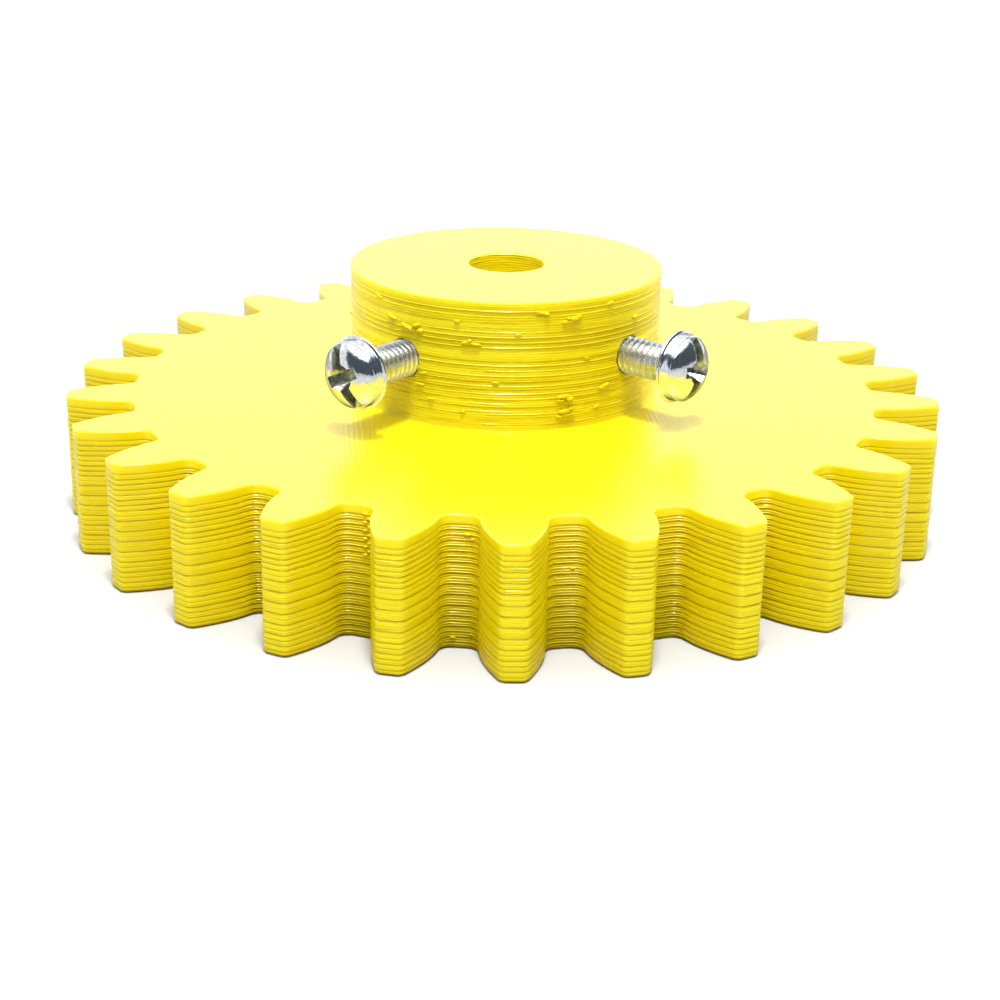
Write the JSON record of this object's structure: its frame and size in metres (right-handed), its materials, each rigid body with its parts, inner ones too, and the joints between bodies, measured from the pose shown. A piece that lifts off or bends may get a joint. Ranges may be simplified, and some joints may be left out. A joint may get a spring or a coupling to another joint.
{
  "type": "extruder gear with clamp hub",
  "caption": "Thick 3D-printed spur gear with a raised round hub, clamped to a motor or extruder shaft by radial machine screws threaded into captive nuts.",
  "frame": {"origin": "centre of the shaft bore on the plate's underside", "axes": "+Z along the shaft bore, from the toothed plate towards the hub's end face; -Y lies between the two clamp screws, about 6 degrees off their bisector, and one tooth is centred 1.7 degrees from it"},
  "size_m": [0.0698, 0.07, 0.02],
  "materials": {
    "printed_plastic": "layered FDM print, semi-gloss, bright yellow",
    "zinc_steel": "bright zinc plate"
  },
  "bodies": {
    "gear": {"gear_and_hub": "printed_plastic", "captive_nut_left": "zinc_steel", "captive_nut_right": "zinc_steel"},
    "screw_left": {"clamp_screw_left": "zinc_steel"},
    "screw_right": {"clamp_screw_right": "zinc_steel"}
  },
  "joints": [
    {"name": "screw_left_travel", "type": "slide", "parent": "gear", "child": "screw_left", "axis": [-0.6184, -0.7859, 0], "range_m": [-0.0029, 0.0079]},
    {"name": "screw_right_travel", "type": "slide", "parent": "gear", "child": "screw_right", "axis": [0.7771, -0.6293, 0], "range_m": [-0.0023, 0.0085]}
  ]
}
